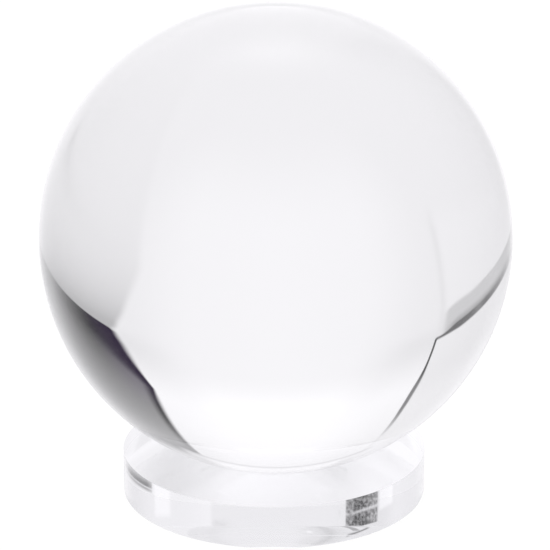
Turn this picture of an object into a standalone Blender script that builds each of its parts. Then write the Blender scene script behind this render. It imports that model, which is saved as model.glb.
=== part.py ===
"""Crystal ball: a solid clear glass ball resting in the shallow round seat of a
clear disc stand.

Units are metres, +Z is up. The origin is the centre of the stand's underside,
which is the face that rests on the table. Both pieces are round about Z.
"""

import math

import bmesh
import bpy

# Driving dimensions
BALL_RADIUS = 0.040
STAND_RADIUS = 0.0262
STAND_HEIGHT = 0.008
SEAT_SINK = 0.0022  # how far the ball's lowest point lies under the stand's top face
SEAT_GAP = 0.0003  # air between the ball and its seat, the same all over
EDGE_ROUND = 0.0004  # radius along the stand's upper and lower outer edges
RIM_ROUND = 0.0003  # radius where the seat meets the top face

# Facets
BALL_SEGMENTS = 72
BALL_RINGS = 36
STAND_SEGMENTS = 96
SEAT_STEPS = 9
ROUND_STEPS = 3

# Mesh finishing
MERGE_DISTANCE = 1e-6  # joins the spin's seam and its points on the axis
SHARP_ANGLE = math.radians(40.0)  # stand edges that turn more than this shade sharp

# Derived
BALL_CENTRE_Z = STAND_HEIGHT - SEAT_SINK + BALL_RADIUS
SEAT_RADIUS = BALL_RADIUS + SEAT_GAP

# Directions in the profile plane, measured from outward towards +Z
OUTWARD = 0.0
UP = math.pi / 2
DOWN = -math.pi / 2


def empty_scene():
    for obj in list(bpy.data.objects):
        bpy.data.objects.remove(obj, do_unlink=True)


def transparent_material(name, colour, ior, roughness):
    material = bpy.data.materials.new(name)
    material.use_nodes = True
    inputs = material.node_tree.nodes["Principled BSDF"].inputs
    inputs["Base Color"].default_value = colour
    inputs["Metallic"].default_value = 0.0
    inputs["Roughness"].default_value = roughness
    inputs["IOR"].default_value = ior
    inputs["Transmission Weight"].default_value = 1.0
    material.diffuse_color = colour
    return material


def optical_glass():
    return transparent_material(
        "optical_glass", colour=(0.975, 0.972, 0.985, 1.0), ior=1.517, roughness=0.0
    )


def clear_stand():
    return transparent_material(
        "clear_stand", colour=(0.955, 0.955, 0.972, 1.0), ior=1.492, roughness=0.02
    )


def smooth_mesh(name, builder):
    """Turn the bmesh into a smooth-shaded mesh and free it."""
    mesh = bpy.data.meshes.new(name)
    builder.to_mesh(mesh)
    builder.free()
    mesh.shade_smooth()
    return mesh


def add_object(mesh, material, parent, height=0.0):
    """Add the mesh under its own name, with its origin on the axis at height."""
    mesh.materials.append(material)
    obj = bpy.data.objects.new(mesh.name, mesh)
    bpy.context.scene.collection.objects.link(obj)
    obj.parent = parent
    obj.location = (0.0, 0.0, height)


def arc(centre, radius, start, end, steps):
    """Points (distance from axis, z) along a circle in the profile plane, from
    angle start to angle end."""
    angles = [start + (end - start) * i / steps for i in range(steps + 1)]
    return [
        (centre[0] + radius * math.cos(angle), centre[1] + radius * math.sin(angle))
        for angle in angles
    ]


def stand_profile():
    """The stand's half section, from the seat's lowest point on the axis, out
    over the top face, down the side and back in along the underside."""
    # The rim round touches the top face from below and the seat's sphere from outside.
    rim_z = STAND_HEIGHT - RIM_ROUND
    rim_distance = math.sqrt(
        (SEAT_RADIUS + RIM_ROUND) ** 2 - (BALL_CENTRE_Z - rim_z) ** 2
    )
    rim_angle = math.atan2(rim_z - BALL_CENTRE_Z, rim_distance)

    seat = arc((0.0, BALL_CENTRE_Z), SEAT_RADIUS, DOWN, rim_angle, SEAT_STEPS)
    seat[0] = (0.0, seat[0][1])  # exactly on the axis, free of rounding error
    rim = arc((rim_distance, rim_z), RIM_ROUND, rim_angle + math.pi, UP, ROUND_STEPS)

    inset = STAND_RADIUS - EDGE_ROUND
    upper_centre = (inset, STAND_HEIGHT - EDGE_ROUND)
    lower_centre = (inset, EDGE_ROUND)
    upper = arc(upper_centre, EDGE_ROUND, UP, OUTWARD, ROUND_STEPS)
    lower = arc(lower_centre, EDGE_ROUND, OUTWARD, DOWN, ROUND_STEPS)

    # The rim's first point is the seat's last.
    return seat + rim[1:] + upper + lower + [(0.0, 0.0)]


def make_ball(parent):
    builder = bmesh.new()
    bmesh.ops.create_uvsphere(
        builder, u_segments=BALL_SEGMENTS, v_segments=BALL_RINGS, radius=BALL_RADIUS
    )
    mesh = smooth_mesh("ball", builder)
    add_object(mesh, optical_glass(), parent, height=BALL_CENTRE_Z)


def make_stand(parent):
    """Spin the half section a full turn about Z."""
    builder = bmesh.new()
    verts = [builder.verts.new((x, 0.0, z)) for x, z in stand_profile()]
    edges = [builder.edges.new(pair) for pair in zip(verts, verts[1:])]
    bmesh.ops.spin(
        builder,
        geom=verts + edges,
        cent=(0.0, 0.0, 0.0),
        axis=(0.0, 0.0, 1.0),
        angle=2.0 * math.pi,
        steps=STAND_SEGMENTS,
    )
    bmesh.ops.remove_doubles(builder, verts=builder.verts, dist=MERGE_DISTANCE)
    bmesh.ops.recalc_face_normals(builder, faces=builder.faces)
    mesh = smooth_mesh("stand", builder)
    mesh.set_sharp_from_angle(angle=SHARP_ANGLE)
    add_object(mesh, clear_stand(), parent)


def main():
    empty_scene()
    assembly = bpy.data.objects.new("crystal_ball", None)
    bpy.context.scene.collection.objects.link(assembly)
    make_stand(assembly)
    make_ball(assembly)
    bpy.context.view_layer.update()


main()
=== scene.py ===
"""Crystal ball on a clear disc stand.

The stand lies flat, turned about +Z, with the ball in its dished seat. The camera looks along
+Y and a little down. What the clear parts show is painted in the world as a formula.
"""

import math

import bpy
import numpy as np
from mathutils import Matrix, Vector


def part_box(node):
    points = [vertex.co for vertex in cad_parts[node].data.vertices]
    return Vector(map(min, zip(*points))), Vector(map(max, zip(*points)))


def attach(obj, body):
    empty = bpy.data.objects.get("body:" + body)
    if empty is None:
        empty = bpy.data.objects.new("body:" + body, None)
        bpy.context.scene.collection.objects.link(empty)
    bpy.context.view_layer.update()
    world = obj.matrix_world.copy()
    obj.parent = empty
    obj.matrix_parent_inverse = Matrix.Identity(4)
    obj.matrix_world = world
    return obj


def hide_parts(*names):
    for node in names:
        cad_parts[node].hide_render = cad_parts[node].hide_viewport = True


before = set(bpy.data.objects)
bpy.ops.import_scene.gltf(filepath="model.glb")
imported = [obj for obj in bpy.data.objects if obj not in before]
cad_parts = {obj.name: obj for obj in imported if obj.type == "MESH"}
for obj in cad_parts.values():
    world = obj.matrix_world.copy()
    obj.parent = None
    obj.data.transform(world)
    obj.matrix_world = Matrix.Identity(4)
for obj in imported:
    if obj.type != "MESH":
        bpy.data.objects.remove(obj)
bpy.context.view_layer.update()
scene = bpy.context.scene

# ---------------------------------------------------------------- sizes, in metres
ball_low, ball_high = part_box("ball")
stand_low, stand_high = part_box("stand")
BALL_RADIUS = (ball_high.z - ball_low.z) / 2
BALL_CENTRE = (ball_low + ball_high) / 2

# The stand stays inside its box by these insets
SIDE_INSET = 0.00012
TOP_INSET = 0.0004
BOTTOM_INSET = 0.00015
STAND_RADIUS = (stand_high.x - stand_low.x) / 2 - SIDE_INSET
STAND_TOP = stand_high.z - TOP_INSET
STAND_BOTTOM = stand_low.z + BOTTOM_INSET
STAND_SHIFT = -0.0003    # along X
SEAT_GAP = 0.0003        # between the ball and its seat
EDGE_ROUND = 0.000004    # outer edges of the stand
RIM_ROUND = 0.000004     # rim of the seat

FLOOR_DROP = 0.0002      # floor below the stand
GLOW_DROP = 0.0001       # glowing card below the stand
GLOW_MARGIN = 0.0002     # glowing card beyond the stand's side

# ---------------------------------------------------------------- light levels
DARK = 0.085                       # unlit parts of the studio
STUDIO_TINT = (1, 0.992, 1.015)    # colour of everything grey or white
FRINGE_TINT = (0.011, 0, 0.026)    # violet


# ---------------------------------------------------------------- nodes
def add_node(tree, kind, inputs=None, **settings):
    """A node with its settings; each input is linked to a socket or Num, or given a value."""
    node = tree.nodes.new(kind)
    for name, value in settings.items():
        setattr(node, name, value)
    for key, value in (inputs or {}).items():
        if isinstance(value, Num):
            value = value.value
        if isinstance(value, bpy.types.NodeSocket):
            tree.links.new(value, node.inputs[key])
        else:
            node.inputs[key].default_value = value
    return node


class Num:
    """A number in a node tree, with ordinary arithmetic, so that a pattern reads as a formula."""

    def __init__(self, tree, value):
        self.tree = tree
        self.value = value

    def op(self, operation, *others):
        inputs = dict(enumerate((self, *others)))
        node = add_node(self.tree, "ShaderNodeMath", inputs, operation=operation)
        return Num(self.tree, node.outputs[0])

    def __add__(self, other): return self.op("ADD", other)
    def __radd__(self, other): return self.op("ADD", other)
    def __sub__(self, other): return self.op("SUBTRACT", other)
    def __rsub__(self, other): return Num(self.tree, other).op("SUBTRACT", self)
    def __mul__(self, other): return self.op("MULTIPLY", other)
    def __rmul__(self, other): return self.op("MULTIPLY", other)
    def __truediv__(self, other): return self.op("DIVIDE", other)
    def __neg__(self): return self.op("MULTIPLY", -1)
    def __abs__(self): return self.op("ABSOLUTE")
    def least(self, other): return self.op("MINIMUM", other)
    def most(self, other): return self.op("MAXIMUM", other)
    def above(self, other): return self.op("GREATER_THAN", other)
    def exp(self): return self.op("EXPONENT")

    def rise(self, start, end):
        """0 below start, 1 above end, smooth between."""
        inputs = {"Value": self, "From Min": start, "From Max": end}
        node = add_node(
            self.tree, "ShaderNodeMapRange", inputs, interpolation_type="SMOOTHSTEP"
        )
        return Num(self.tree, node.outputs[0])

    def fall(self, start, end):
        """1 below start, 0 above end, smooth between."""
        return 1 - self.rise(start, end)

    def bell(self, centre, width):
        """1 at centre, falling off as a bell curve of that width."""
        offset = (self - centre) / width
        return (-(offset * offset)).exp()


def mix(first, second, share):
    return first + (second - first) * share


def vector(tree, operation, *values):
    """The result of a vector operation on sockets and tuples."""
    inputs = dict(enumerate(values))
    node = add_node(tree, "ShaderNodeVectorMath", inputs, operation=operation)
    return node.outputs[0]


def dot(tree, first, second):
    inputs = {0: first, 1: second}
    node = add_node(tree, "ShaderNodeVectorMath", inputs, operation="DOT_PRODUCT")
    return Num(tree, node.outputs["Value"])


def tinted(tree, colour, level):
    inputs = {0: colour, "Scale": level}
    return add_node(tree, "ShaderNodeVectorMath", inputs, operation="SCALE").outputs[0]


def noise(tree, place, scale, detail, roughness=0.5):
    inputs = {"Vector": place, "Scale": scale, "Detail": detail, "Roughness": roughness}
    return add_node(tree, "ShaderNodeTexNoise", inputs).outputs["Fac"]


def camera_axis(tree, axis):
    """A direction of the camera's own, in the world: 0, 0, 1 is the way it looks."""
    return add_node(
        tree, "ShaderNodeVectorTransform", {0: axis},
        vector_type="VECTOR", convert_from="CAMERA", convert_to="WORLD",
    ).outputs[0]


def heading(tree):
    """Two level directions, straight away from the camera and to its right."""
    away = vector(tree, "ADD", camera_axis(tree, (0, 0, 1)), camera_axis(tree, (0, 1, 0)))
    away = vector(tree, "MULTIPLY", away, (1, 1, 0))
    away = vector(tree, "NORMALIZE", away)
    return away, vector(tree, "CROSS_PRODUCT", away, (0, 0, 1))


def cleared_tree(owner):
    owner.use_nodes = True
    owner.node_tree.nodes.clear()
    return owner.node_tree


# ---------------------------------------------------------------- the studio the clear parts see
# azim is degrees to the right of straight behind the object, side is its size without sign,
# and elev is degrees above the table. The arguments of rise, fall and bell are such degrees.
# In mix they choose between two light levels, widths or angles. Elsewhere the number before
# them is the strength of the feature named, as a light level, a share of it, or in an edge's
# place as degrees.
def card_behind(side, elev):
    """White card, brighter higher up, duller in its lower corners and at its top."""
    level = mix(0.915, 1.075, elev.rise(4.5, 17))
    lower_corners = 0.05 * elev.bell(3, 3.5) * side.rise(14, 28)
    level = level * (1 - lower_corners)
    top = 0.02 * elev.rise(31, 38)
    top_corners = 0.045 * elev.rise(35.5, 39) * side.rise(10, 22)
    return level * (1 - top - top_corners)


def left_card(side, elev):
    """White card, bounded above by a curve that sinks toward its far side."""
    outward = (side - 50).most(0)
    level = mix(0.93, 1, elev.rise(12, 24))
    over_card = mix(DARK, 0.95, elev.rise(44, 54))
    level = mix(level, over_card, (elev - 51.5 + 0.045 * outward * outward).rise(-3, 3))
    return mix(level, DARK, side.rise(61, 96))


def gap_image_level(side, elev, gap_foot):
    """The gap's grey image in the table, greyer outward, darkest just under the gap."""
    level = mix(0.86, 0.67, side.rise(33.2, 35.6))
    level = mix(level, 0.43, side.rise(54, 78))
    contact = 0.28 * (elev - gap_foot).rise(-2, -0.3) * side.rise(34, 38)
    return level * (1 - contact)


def left_side(side, elev, table):
    """From the top: the left card, a black gap, the gap's image and the bare table."""
    card = left_card(side, elev)
    gap_top = 4 - 0.066 * (side - 40.5).most(0)
    outer_foot = 2.1 - 0.075 * (side - 40)
    gap_foot = mix(gap_top - 0.6, outer_foot, side.rise(33.5, 39.5))
    gap_blur = mix(0.35, 0.85, side.rise(44, 56))

    # The image's lower edge sweeps up at its inner end and sinks outward
    inner_sweep = 2.1 * ((33.8 - side) / 6).exp()
    image_foot = -3.87 + inner_sweep + 0.3 * side.bell(43, 3.5) - 0.06 * (side - 47).most(0)
    image_blur = mix(0.7, 0.4, side.rise(44, 50))
    image = gap_image_level(side, elev, gap_foot)

    # The gap has a paler and a darker patch and a darker inner end
    pale_patch = 0.07 * side.bell(48.5, 2.5)
    dark_patch = 0.035 * side.bell(53, 2)
    gap = 0.16 + pale_patch - dark_patch - 0.05 * side.fall(34, 37)

    under = mix(image, gap, elev.rise(gap_foot - gap_blur, gap_foot + gap_blur))
    level = mix(under, card, elev.rise(gap_top - 0.4, gap_top + 0.4))
    return mix(table, level, elev.rise(image_foot - image_blur, image_foot + image_blur))


def room_edge(elev):
    """Azimuth where the dim room begins: slanted at the table, swelling round it."""
    slant = elev.most(-3).least(3) * 0.25
    swell = 0.55 * (12.9 - abs(elev - 0.8)).most(0)
    edge = 24.35 + slant + swell
    notch = 0.35 * (4.2 - elev).most(0).least(3) * elev.rise(0.5, 1.5)
    return edge + notch + 0.3 * elev.fall(-1, 1)


def dim_room(azim, side, elev, past, foot):
    """Dim room on the right, black beside the card's edge and along its floor."""
    lit = 1 - (-((elev - foot - 2.8).most(0)) / 13).exp()
    level = 0.40 * mix(lit, 1, azim.rise(37, 74))
    level = mix(level, DARK, elev.rise(36, 48))
    level = mix(level, DARK, side.rise(60, 84))
    level = mix(level, 0.84, elev.rise(42, 54) * side.fall(42, 64))
    black_width = 2.3 + 6.6 * elev.fall(4, 14)
    return level * (1 - past.fall(black_width * 0.2, black_width * 1.6) * elev.fall(20, 50))


def glossy_table(azim, elev):
    """The table's levels with a faint image of the left edge, and as dulled by the room."""
    level = 0.912 + 0.026 * (-elev).rise(10, 60)
    seam = -33 + 0.2 * (-elev - 3).most(0).least(17)
    seam_image = 0.065 * azim.bell(seam, 1) - 0.02 * (-azim).rise(-seam - 0.5, -seam + 0.5)
    level = level * (1 - seam_image * (-elev).fall(17, 24))
    room_image = 0.42 * (elev.least(0) / 7).exp()
    dulled = level * (1 - room_image - 0.018 * (-elev).fall(36, 60))
    return level, dulled


def left_edge(elev):
    """Azimuth of the nearly upright edge between the card behind and the left card."""
    lean = 0.115 * (elev - 4).most(0).least(19)
    return -32.35 + lean + 0.30 * elev.bell(17.5, 4) + 0.12 * elev.rise(10, 24)


def edge_mark(azim, elev, line):
    """The dark line along the left edge, wider higher up and fading out above."""
    width = 0.82 * (0.38 + 0.80 * elev.rise(8.5, 17) - 0.15 * elev.rise(20, 26))
    blur = mix(0.24, 0.40, elev.rise(7, 16))
    mark = azim.rise(line - width - blur, line - width * 0.3) * azim.fall(
        line + width * 0.5, line + width * 0.5 + blur * 1.5
    )
    strength = 0.92 - 0.15 * elev.rise(11, 15)
    fade = elev.fall(21.5, 40).most(0.12)
    return mark * strength * fade * elev.fall(46, 50) * elev.rise(3.2, 4)


def add_softbox(level, azim, side, elev):
    """Over the card, past a thin dark line, a softbox; beside it the dark."""
    height = elev - 49.6 + 0.0058 * side * side
    bright_rim = 0.10 * height.bell(3, 1.6)
    dark_line = 0.30 * height.bell(0, 1.1)
    softbox = 1.06 + bright_rim - dark_line
    bright_middle = 0.18 * height.rise(2, 7) * side.fall(20, 28)
    dull_ends = 0.14 * side.rise(20, 29)
    softbox = softbox * (1 + bright_middle - dull_ends - 0.11 * azim.rise(22, 30))
    softbox = mix(softbox, DARK, azim.rise(42, 64) * elev.fall(60, 74))
    extent = height.rise(-1.6, -0.6) * mix(1, elev.rise(60, 74), side.rise(30, 34))
    return mix(level, softbox, extent)


def studio_level(azim, elev):
    """The studio as seen through the ball, and the place of the violet fringe. White card
    stands behind it, and a second one on the left with a dark gap beside and under it. The
    right is open to a dim room. All of it stands on a glossy white table."""
    side = abs(azim)
    past = azim - room_edge(elev)
    foot_slope = 0.0626 * (azim - 34.5).most(0)
    foot = (1.47 - foot_slope).most(-1) + 0.35 * azim.fall(32.6, 34.4)

    table, dull_table = glossy_table(azim, elev)
    far = 1 - 0.40 * side.rise(61, 115)
    left = left_side(side, elev, table * far)
    room = dim_room(azim, side, elev, past, foot)
    right = mix(dull_table * far, room, elev.rise(foot - 0.22, foot + 0.22))
    middle = mix(table * far, card_behind(side, elev), elev.rise(-1, 3))

    # The three parts meet along two nearly upright edges, the right one blurred by height
    line = left_edge(elev)
    level = mix(middle, left, (-azim).rise(-line - 0.4, -line + 0.4))
    level = level * (1 - edge_mark(azim, elev, line))
    blur = mix(1.3, 1.6, elev.rise(1, 3)) - 1.1 * elev.rise(5, 12) + 0.55 * elev.rise(13, 18)
    level = mix(level, right, past.rise(-blur, blur))
    level = add_softbox(level, azim, side, elev)

    # Dim in front, with a low glow from the camera's side
    level = mix(level, 0.16, side.rise(100, 130) * elev.rise(-40, -15))
    level += 0.5 * side.bell(180, 15) * elev.bell(30, 36)

    # A trace of violet where the room's black edge is spread into colour
    fringe = past.rise(-0.4, 0.6) * past.fall(3, 15) * elev.fall(12, 24)
    fringe = fringe * elev.rise(foot - 0.3, foot + 0.3)
    return level, fringe


def mirror_level(azim, elev):
    """The same studio, softer, as mirrored by the outer surfaces."""
    side = abs(azim)
    # Broad light behind with a brighter core
    level = 0.12 + 0.76 * azim.bell(0, 67) * abs(elev + 5).fall(29, 90)
    level += 0.50 * azim.bell(0, 40) * elev.bell(-4, 32)
    # Light from the camera's side, then the softbox above
    level += 1.24 * side.rise(100, 142) * abs(elev + 15).fall(33, 90)
    level += 0.69 * azim.bell(0, 32) * elev.bell(62, 12)
    gap = 0.40 * elev.bell(0.5, 3.4) * (-azim).rise(28, 36) * (-azim).fall(80, 110)
    level = level * (1 - gap)
    table = 0.45 * (-elev).rise(58, 80)
    level += table
    room = azim.rise(16, 25.4) * azim.fall(25.4, 60) * abs(elev - 15).fall(25, 40)
    return level * (1 - 0.20 * room)


# In the stand's light, tall is the size of elev without sign, low marks rays of many bounces,
# and bent marks those of them outside a narrow band of tall.
def stand_painted_spots(level, azim, tall, bent, grain):
    """Painted dark spots right and left, and painted dark mottling and a painted highlight in the
    rays bent by the seat.
    """
    spot = 0.10 * azim.bell(15, 2.6) * tall.bell(24.65, 0.07) * azim.fall(16.8, 17.6)
    level -= spot * (0.5 + grain)
    level -= 0.06 * azim.bell(-18.4, 0.35) * tall.bell(24.44, 0.06)
    # Painted dark mottling, less a painted highlight, in the rays bent by the seat
    grainy = (-azim).rise(3, 7) * (-azim).fall(13, 16) * grain * 0.16
    painted_mottle = grainy + 0.13 * azim.bell(-10.2, 1.5)
    pale_spot = 0.17 * azim.bell(-6.3, 0.6) * tall.bell(13, 4)
    painted_mottle -= pale_spot
    level -= bent * tall.fall(44, 56) * painted_mottle
    return level - 0.05 * bent * azim.bell(11.5, 2.2) * (0.5 + grain)


def stand_painted_highlights(level, azim, side, tall):
    """Two soft painted highlights, images of white lights, the right one level and the left one
    slanted.
    """
    painted_highlight = azim.rise(32.8, 34.4) * azim.fall(41.6, 43.4) * tall.fall(24.42, 24.56)
    level += 0.10 * painted_highlight
    slant = tall + 0.02 * (side - 34)
    painted_highlight = (-azim).rise(34, 34.8) * (-azim).fall(41, 42.8) * slant.fall(24.34, 24.43)
    return level + 0.15 * painted_highlight


def stand_streak(azim, tall, low):
    """The painted dark streak, with a paler line near its foot and faded away from it."""
    foot = 24.02 - 0.012 * (azim - 46)
    inner_end = 0.70 + 0.30 * azim.rise(44.6, 48.5)
    streak = azim.rise(43.6, 45) * azim.fall(66, 90) * inner_end
    streak = streak * (tall - foot).fall(-0.03, 0.04) * (1 - low)
    streak = streak * (1 - 0.75 * (tall - foot).bell(-0.055, 0.016))
    streak = streak * (1 - 0.25 * (tall - foot).rise(-0.055, -0.03))
    return streak * (0.35 + 0.65 * (tall - foot).rise(-0.26, -0.10))


def stand_strip(azim, side, tall, grain):
    """The painted dark banded strip: its level and its extent, split by a pale slanted band."""
    slant = tall + 0.016 * (side - 21)
    pale_band = 0.66 * slant.bell(24.475, 0.034)
    extent = 1 - pale_band * (0.5 + 0.5 * side.rise(22, 25))
    extent = extent * (slant - 0.0025 * (side - 21)).fall(24.745, 24.775)
    extent = extent * (-azim).rise(20.1, 20.9) * (-azim).fall(33, 33.9)
    darkest = 0.19 * side.bell(25.5, 3.2)
    level = 0.39 - darkest + 0.04 * side.rise(29, 33) + 0.32 * (grain - 0.5)
    return level.most(0.05), extent


def stand_level(azim, elev, depth, grain):
    """What reaches the eye after it crosses the stand, painted into the studio for those rays
    alone: mostly even pale grey, with two soft painted highlights, a painted dark streak at
    positive azimuth and a painted dark banded strip at negative. The low rays, bent by the seat,
    carry a few painted dark spots and a painted highlight."""
    low = depth.above(4.5)
    tall = abs(elev)
    side = abs(azim)
    bent = low * (1 - tall.rise(23.2, 23.8) * tall.fall(25.2, 25.8))
    strength = mix(0.35, 1, tall.rise(14, 21)) * (1 - bent)

    # Even grey, a little brighter in steps to either side
    level = mix(0.880, 0.850, low)
    level += 0.075 * azim.rise(16.8, 18.2)
    level += 0.035 * azim.rise(20, 45)
    level -= 0.04 * azim.rise(46, 62)
    level += 0.11 * (-azim).rise(33, 46)
    level += 0.05 * bent * side.rise(14, 30)

    level = stand_painted_spots(level, azim, tall, bent, grain)
    level = stand_painted_highlights(level, azim, side, tall)
    level = level * (1 - 0.72 * stand_streak(azim, tall, low) * strength)
    strip, extent = stand_strip(azim, side, tall, grain)
    level = mix(level, strip, extent * strength)

    # A dark corner of the strip and a thin dark line under it, in the rays bent by the seat
    corner = bent * (-azim).rise(15.5, 16) * (-azim).fall(17.2, 18.2) * tall.fall(9, 15)
    level = mix(level, 0.38, corner * 0.85)
    slant = tall + 3.2 * (side - 14.7)
    line_width = mix(3.6, 2.2, side.rise(15, 18))
    line = bent * (-azim).rise(13.9, 14.4) * (-azim).fall(20, 23)
    return mix(level, 0.30, line * slant.bell(23.5, line_width))


def build_world():
    world = bpy.data.worlds.new("studio")
    scene.world = world
    tree = cleared_tree(world)

    # The studio turns with the camera, as a turntable shot does: "away" is level and points
    # from the camera past the object, from any height.
    away, right = heading(tree)
    look = add_node(tree, "ShaderNodeTexCoord").outputs["Generated"]
    x = dot(tree, look, right)
    y = dot(tree, look, away)
    z = dot(tree, look, (0, 0, 1))
    azim = x.op("ARCTAN2", y) * math.degrees(1)
    elev = z.op("ARCSINE") * math.degrees(1)

    rays = add_node(tree, "ShaderNodeLightPath")
    depth = Num(tree, rays.outputs["Ray Depth"])
    through = Num(tree, rays.outputs["Is Transmission Ray"])

    # Grain drawn out along the azimuth
    spread = add_node(tree, "ShaderNodeCombineXYZ", {0: azim * 0.9, 1: abs(elev) * 14})
    grain = Num(tree, noise(tree, spread.outputs[0], scale=1, detail=3)).rise(0.35, 0.70)

    # Rays of several bounces that leave forwards and not steeply have crossed the stand, and see
    # its painted light and shade
    seen, fringe = studio_level(azim, elev)
    long_path = depth.above(3.5) * abs(azim).fall(100, 110) * abs(elev).fall(50, 62)
    seen = mix(seen, stand_level(azim, elev, depth, grain), long_path)

    # Mirrored rays that hardly turn come from the very edge of a surface, where little else does
    turn = dot(tree, look, camera_axis(tree, (0, 0, 1)))
    turn = turn.least(1).op("ARCCOSINE") * math.degrees(1)
    mirrored = mirror_level(azim, elev) * (1 - 0.30 * turn.bell(0, 14))
    level = mix(mirrored, seen, through)

    brightness = 1.012
    grey = tinted(tree, STUDIO_TINT, level * brightness)
    violet = tinted(tree, FRINGE_TINT, fringe * through * (1 - long_path))
    colour = vector(tree, "ADD", grey, violet)
    studio = add_node(tree, "ShaderNodeBackground", {"Color": colour})
    plain = add_node(tree, "ShaderNodeBackground", {"Color": (1, 1, 1, 1)})
    both = add_node(tree, "ShaderNodeMixShader", {
        0: rays.outputs["Is Camera Ray"], 1: studio.outputs[0], 2: plain.outputs[0],
    })
    add_node(tree, "ShaderNodeOutputWorld", {"Surface": both.outputs[0]})


# ---------------------------------------------------------------- shapes
def new_mesh(name, points, faces):
    mesh = bpy.data.meshes.new(name)
    mesh.from_pydata(points, [], faces)
    mesh.update()
    return mesh


def cube_sphere(name, radius, cells):
    """A ball of even square facets: a cube's faces divided by equal angles and pushed out
    to the sphere, each point exactly on it."""
    steps = np.tan((np.arange(cells + 1) / cells - 0.5) * (math.pi / 2))
    wide, high = np.meshgrid(steps, steps, indexing="ij")
    one = np.ones_like(wide)
    sides = (
        (one, wide, high), (-one, -wide, high), (-wide, one, high),
        (wide, -one, high), (-high, wide, one), (high, wide, -one),
    )
    points, faces = [], []
    grid = np.arange((cells + 1) ** 2).reshape(cells + 1, cells + 1)
    for i, side in enumerate(sides):
        flat = np.stack([values.ravel() for values in side], axis=1)
        points.append(flat / np.linalg.norm(flat, axis=1, keepdims=True))
        ids = grid + i * (cells + 1) ** 2
        quads = np.stack([ids[:-1, :-1], ids[1:, :-1], ids[1:, 1:], ids[:-1, 1:]], axis=-1)
        faces.append(quads.reshape(-1, 4))
    points = np.concatenate(points)
    faces = np.concatenate(faces)
    # Points shared by neighbouring sides become one
    _, first, index = np.unique(
        np.round(points * 1e6).astype(np.int64), axis=0, return_index=True, return_inverse=True
    )
    points = points[first] * radius
    faces = index.reshape(-1)[faces]
    mesh = new_mesh(name, points.tolist(), faces.tolist())
    start, second, third = points[faces[0, :3]]
    if np.dot(np.cross(second - start, third - start), start) < 0:
        mesh.flip_normals()
    mesh.shade_smooth()
    mesh.normals_split_custom_set_from_vertices((points / radius).tolist())
    return mesh


def arc(centre, radius, start, end, steps):
    """Points and outward normals along a circle in the half section, as stand_section's."""
    found = []
    for i in range(steps + 1):
        angle = start + (end - start) * i / steps
        out, up = math.cos(angle), math.sin(angle)
        found.append((centre[0] + radius * out, centre[1] + radius * up, out, up))
    return found


def stand_section():
    """The stand's half section from the seat's lowest point, over the top, down the side and
    in along the underside: radius, height and the exact normal's outward and upward parts."""
    seat = BALL_RADIUS + SEAT_GAP
    rim_z = STAND_TOP - RIM_ROUND
    rim_radius = math.sqrt((seat + RIM_ROUND) ** 2 - (BALL_CENTRE.z - rim_z) ** 2)
    angle = math.atan2(rim_z - BALL_CENTRE.z, rim_radius)
    quarter = math.pi / 2
    bowl = arc((0.0, BALL_CENTRE.z), seat, -quarter, angle, 40)
    dish = [(radius, height, -out, -up) for radius, height, out, up in bowl]
    rim = arc((rim_radius, rim_z), RIM_ROUND, angle + math.pi, quarter, 8)
    inset = STAND_RADIUS - EDGE_ROUND
    upper = arc((inset, STAND_TOP - EDGE_ROUND), EDGE_ROUND, quarter, 0.0, 8)
    lower = arc((inset, STAND_BOTTOM + EDGE_ROUND), EDGE_ROUND, 0.0, -quarter, 8)
    return dish + rim[1:] + upper + lower + [(0.0, STAND_BOTTOM, 0.0, -1.0)]


def ring(radius, height, turns):
    angles = [2 * math.pi * k / turns for k in range(turns)]
    return [(radius * math.cos(angle), radius * math.sin(angle), height) for angle in angles]


def lathe(name, section, turns):
    """A closed body turned about Z, with its normals taken from the section."""
    rows = section[1:-1]
    points, normals, faces = [], [], []
    for radius, height, out, up in rows:
        points += ring(radius, height, turns)
        normals += ring(out, up, turns)
    for _, height, _, up in (section[0], section[-1]):
        points.append((0.0, 0.0, height))
        normals.append((0.0, 0.0, 1.0 if up > 0 else -1.0))
    top, bottom = len(points) - 2, len(points) - 1
    for i in range(len(rows) - 1):
        row, below = i * turns, (i + 1) * turns
        for k in range(turns):
            n = (k + 1) % turns
            faces.append((row + k, below + k, below + n, row + n))
    last = (len(rows) - 1) * turns
    for k in range(turns):
        n = (k + 1) % turns
        faces.append((top, k, n))
        faces.append((bottom, last + n, last + k))
    mesh = new_mesh(name, points, faces)
    mesh.shade_smooth()
    mesh.normals_split_custom_set_from_vertices(normals)
    return mesh


# ---------------------------------------------------------------- the two clear pieces
def clear_material(name, tints, ior, roughness, wave, wave_scale, polish_scale):
    """Polished clear material: a hardly visible drift in tint, a polish that varies a little
    from place to place, and a very shallow long wave in the surface."""
    material = bpy.data.materials.new(name)
    material.use_nodes = True
    tree = material.node_tree
    place = add_node(tree, "ShaderNodeTexCoord").outputs["Object"]

    drift = noise(tree, place, scale=30, detail=2)
    tint = add_node(
        tree, "ShaderNodeMix", {0: drift, 6: tints[0], 7: tints[1]}, data_type="RGBA"
    )
    polish = Num(tree, noise(tree, place, polish_scale, detail=4, roughness=0.6))
    height = noise(tree, place, wave_scale, detail=1)
    bump = add_node(tree, "ShaderNodeBump", {"Strength": 1, "Distance": wave, "Height": height})

    inputs = tree.nodes["Principled BSDF"].inputs
    tree.links.new(tint.outputs[2], inputs["Base Color"])
    tree.links.new(mix(*roughness, polish.rise(0.55, 0.85)).value, inputs["Roughness"])
    tree.links.new(bump.outputs[0], inputs["Normal"])
    inputs["IOR"].default_value = ior
    inputs["Transmission Weight"].default_value = 1
    return material


def add_object(name, data, location, hidden_from=()):
    obj = bpy.data.objects.new(name, data)
    scene.collection.objects.link(obj)
    obj.location = location
    for ray in hidden_from:
        setattr(obj, "visible_" + ray, False)
    return obj


def add_piece(mesh, material, part, location):
    mesh.materials.append(material)
    obj = add_object(mesh.name, mesh, location)
    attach(obj, part)
    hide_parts(part)


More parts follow.
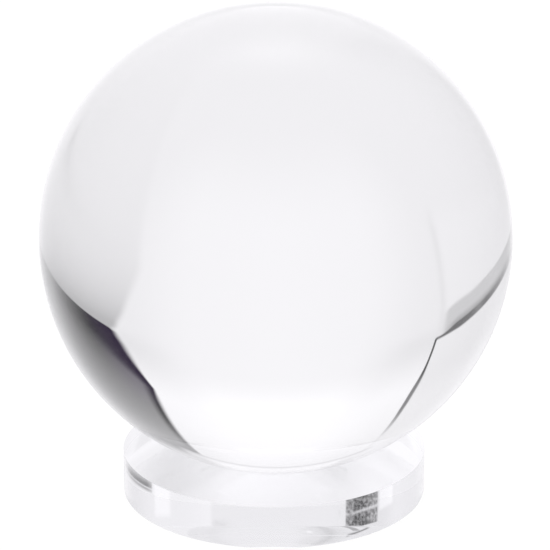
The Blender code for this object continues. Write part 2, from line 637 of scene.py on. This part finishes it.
def build_ball():
    mesh = cube_sphere("crystal_ball", BALL_RADIUS, cells=128)
    material = clear_material(
        "ball_crystal", tints=((1, 1, 1, 1), (0.992, 0.990, 1, 1)), ior=1.517,
        roughness=(0, 0.045), wave=1.2e-5, wave_scale=18, polish_scale=90,
    )
    add_piece(mesh, material, "ball", BALL_CENTRE)


def build_stand():
    mesh = lathe("clear_stand", stand_section(), turns=256)
    material = clear_material(
        "stand_clear", tints=((0.985, 0.985, 0.995, 1), (0.97, 0.97, 0.985, 1)), ior=1.492,
        roughness=(0, 0.012), wave=2.0e-7, wave_scale=40, polish_scale=160,
    )
    add_piece(mesh, material, "stand", (STAND_SHIFT, 0, 0))


# ---------------------------------------------------------------- floor, light and camera
def build_floor():
    """A wide pale floor, mostly glowing. The glass sees the studio's own table instead."""
    size = 30.0
    corners = [(-size, -size, 0), (size, -size, 0), (size, size, 0), (-size, size, 0)]
    mesh = new_mesh("floor", corners, [(0, 1, 2, 3)])
    material = bpy.data.materials.new("pale_floor")
    tree = cleared_tree(material)
    glow = add_node(tree, "ShaderNodeEmission", {"Color": (1, 1, 1, 1), "Strength": 0.96})
    matt = add_node(tree, "ShaderNodeBsdfDiffuse", {"Color": (0.10, 0.10, 0.10, 1)})
    total = add_node(tree, "ShaderNodeAddShader", {0: glow.outputs[0], 1: matt.outputs[0]})
    add_node(tree, "ShaderNodeOutputMaterial", {"Surface": total.outputs[0]})
    mesh.materials.append(material)
    hidden_from = ("glossy", "transmission", "diffuse", "shadow")
    add_object("floor", mesh, (0, 0, STAND_BOTTOM - FLOOR_DROP), hidden_from)


def glow_level(right, away):
    """Painted light and shade of the table under the stand, at a place in millimetres to the
    camera's right and away from it.
    """
    # Painted light on the right, painted shade on the left
    level = 0.935 + 0.065 * right.rise(12, 18)
    level -= 0.05 * (-right).rise(8, 18)
    # A darker wedge of painted shade
    across = (right + 15) * 0.79 - (away + 6.8) * 0.61
    wedge = across.rise(-0.9, 0.9) * right.fall(-20, -4) * away.fall(-6, 2)
    level -= 0.045 * wedge
    # A pale streak of painted light
    across = (right + 23) * 0.87 - (away + 1.7) * 0.50
    streak = 0.07 * across.bell(0, 1.1) * (-right).rise(17, 20)
    level += streak
    # Painted shade: a patch near the front right, and a broad one right of the middle
    near_patch = 0.06 * right.bell(9.9, 3) * away.bell(-13.5, 4)
    return level - near_patch - 0.055 * right.bell(7, 7.5)


def build_glow():
    """A glowing disc just under the stand, seen only through it, which lights its top face with
    the table's painted
    light and shade: painted shade on the left with a darker wedge, a painted pale streak, and
    brightest on the right."""
    turns = 96
    points = [(0.0, 0.0, 0.0)] + ring(STAND_RADIUS + GLOW_MARGIN, 0.0, turns)
    mesh = new_mesh("glow", points, [(0, 1 + k, 1 + (k + 1) % turns) for k in range(turns)])
    material = bpy.data.materials.new("glow")
    tree = cleared_tree(material)
    away, right = heading(tree)
    place = add_node(tree, "ShaderNodeNewGeometry").outputs["Position"]
    pattern_shift = 6.2    # millimetres away from the camera
    level = glow_level(
        dot(tree, place, right) * 1000, dot(tree, place, away) * 1000 - pattern_shift
    )
    colour = tinted(tree, STUDIO_TINT, level)
    light = add_node(tree, "ShaderNodeEmission", {"Color": colour})
    add_node(tree, "ShaderNodeOutputMaterial", {"Surface": light.outputs[0]})
    mesh.materials.append(material)
    place = (STAND_SHIFT, 0, STAND_BOTTOM - GLOW_DROP)
    add_object("glow", mesh, place, ("camera", "glossy", "diffuse", "shadow"))


def build_light():
    """A round softbox above and a little behind, aimed at the ball."""
    data = bpy.data.lights.new("overhead_softbox", "AREA")
    data.shape = "DISK"
    data.size = 0.6
    data.energy = 4.0
    hidden_from = ("glossy", "transmission", "camera")
    light = add_object("overhead_softbox", data, (0.0, 0.25, 0.9), hidden_from)
    light.rotation_mode = "QUATERNION"
    light.rotation_quaternion = (light.location - BALL_CENTRE).to_track_quat("Z", "Y")


def build_camera():
    """Twelve ball radii in front and 19.2 degrees up, aimed a hair to the left and up."""
    back = 12.0 * BALL_RADIUS
    rise = back * math.tan(math.radians(19.2))
    pitch = math.radians(19.92)
    aim_right, aim_up = -0.000246502, 0.0000666223    # shares of the distance ahead
    data = bpy.data.cameras.new("camera")
    data.sensor_width = 36.0
    data.lens = 196.494545
    data.clip_start, data.clip_end = 0.01, 100.0
    camera = add_object("camera", data, BALL_CENTRE + Vector((0.0, -back, rise)))
    forward = Vector((0.0, math.cos(pitch), -math.sin(pitch)))
    up = Vector((0.0, math.sin(pitch), math.cos(pitch)))
    aim = forward + Vector((1, 0, 0)) * aim_right + up * aim_up
    camera.rotation_mode = "QUATERNION"
    camera.rotation_quaternion = aim.to_track_quat("-Z", "Y")
    scene.camera = camera


build_ball()
build_stand()
build_world()
build_floor()
build_glow()
build_light()
build_camera()

# Light that zigzags inside the stand is followed far enough to get out again.
scene.cycles.max_bounces = 24
scene.cycles.glossy_bounces = 16
scene.cycles.transmission_bounces = 20

scene.view_settings.view_transform = "Standard"
scene.view_settings.look = "None"
scene.view_settings.exposure = 0.0
scene.view_settings.gamma = 1.0
